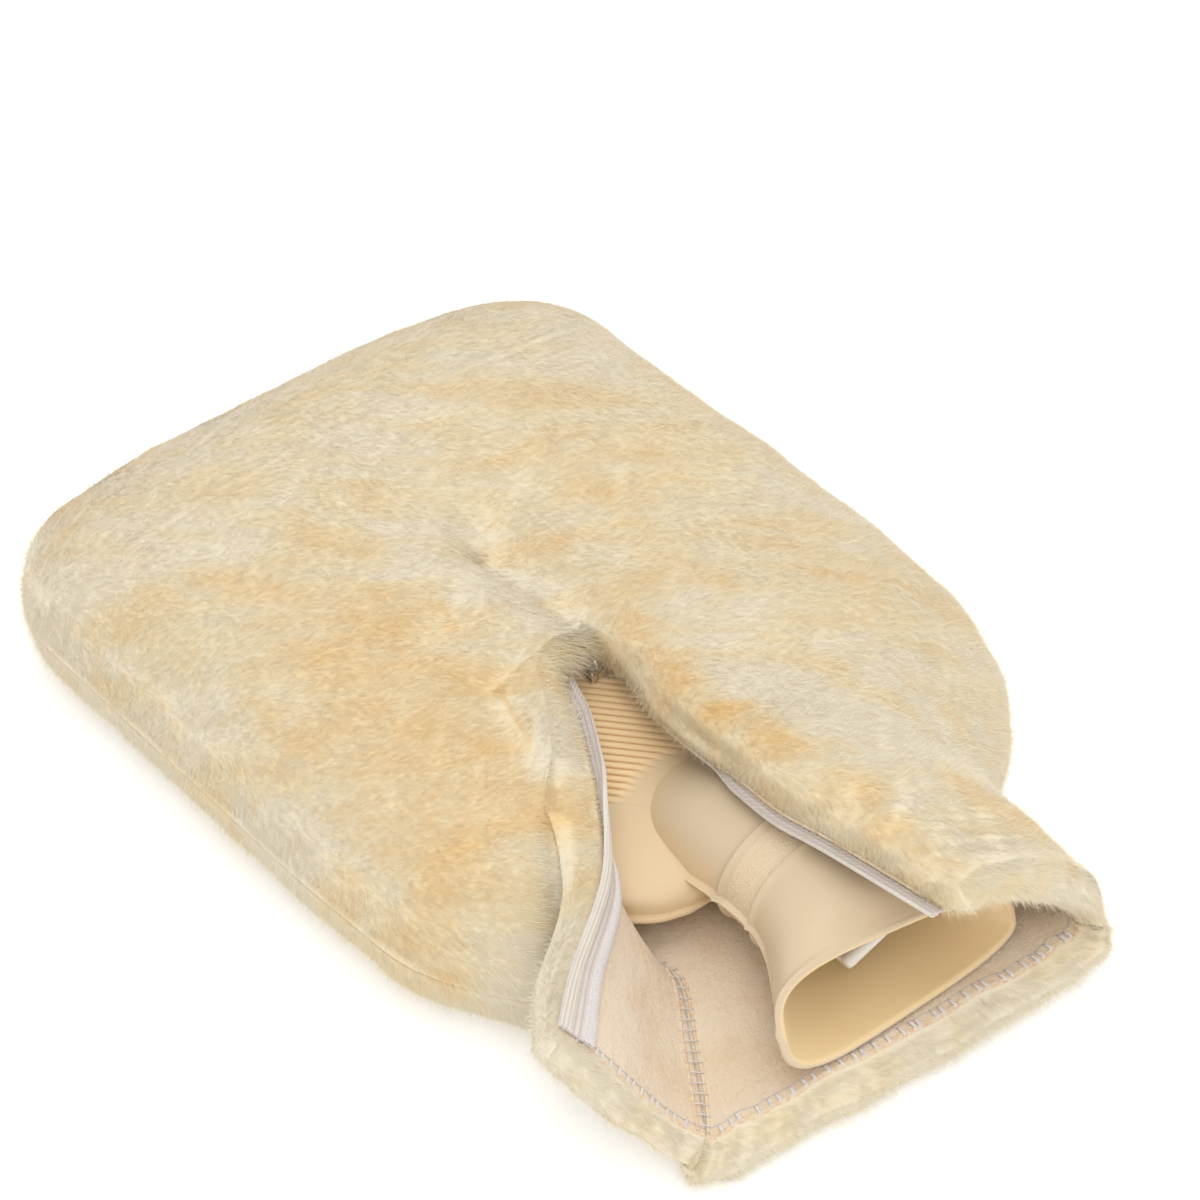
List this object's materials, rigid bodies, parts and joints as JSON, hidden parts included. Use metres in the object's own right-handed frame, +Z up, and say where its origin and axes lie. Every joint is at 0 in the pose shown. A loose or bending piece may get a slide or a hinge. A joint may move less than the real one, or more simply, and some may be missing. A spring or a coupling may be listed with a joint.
{
  "type": "hot water bottle cover with bottle",
  "caption": "Fitted sheepskin cover with a front zip, lying open at the neck round a ribbed rubber hot water bottle with a funnel mouth and a screw stopper.",
  "frame": {"origin": "on the flat underside that it lies on, on the centre line, near the middle of its length", "axes": "+X across the cover, +Y along the centre line from the mouth to the closed end, +Z up from the surface it lies on through the zipped front"},
  "size_m": [0.2482, 0.3656, 0.0815],
  "materials": {
    "sheepskin": "clipped cream wool pile outside, pinkish suede inside",
    "rubber": "smooth satin rubber with moulded ribs",
    "stopper_plastic": "translucent white moulded plastic",
    "zip_tape": "white woven ribbed tape",
    "zip_coil": "white nylon coil teeth",
    "slider_metal": "plain bright metal",
    "pull_plastic": "smooth white moulded plastic"
  },
  "bodies": {
    "cover": {"back_panel": "sheepskin", "front_panel": "sheepskin", "bottle": "rubber", "zip_tape_left": "zip_tape", "zip_tape_right": "zip_tape", "zip_coil_left": "zip_coil", "zip_coil_right": "zip_coil", "zip_slider": "slider_metal", "zip_pull": "pull_plastic"},
    "stopper": {"stopper": "stopper_plastic"}
  },
  "joints": [
    {"name": "stopper_turn", "type": "hinge", "parent": "cover", "child": "stopper", "pos_m": [-0.0095, -0.13, 0.0353], "axis": [0, 1, 0], "continuous": true}
  ]
}
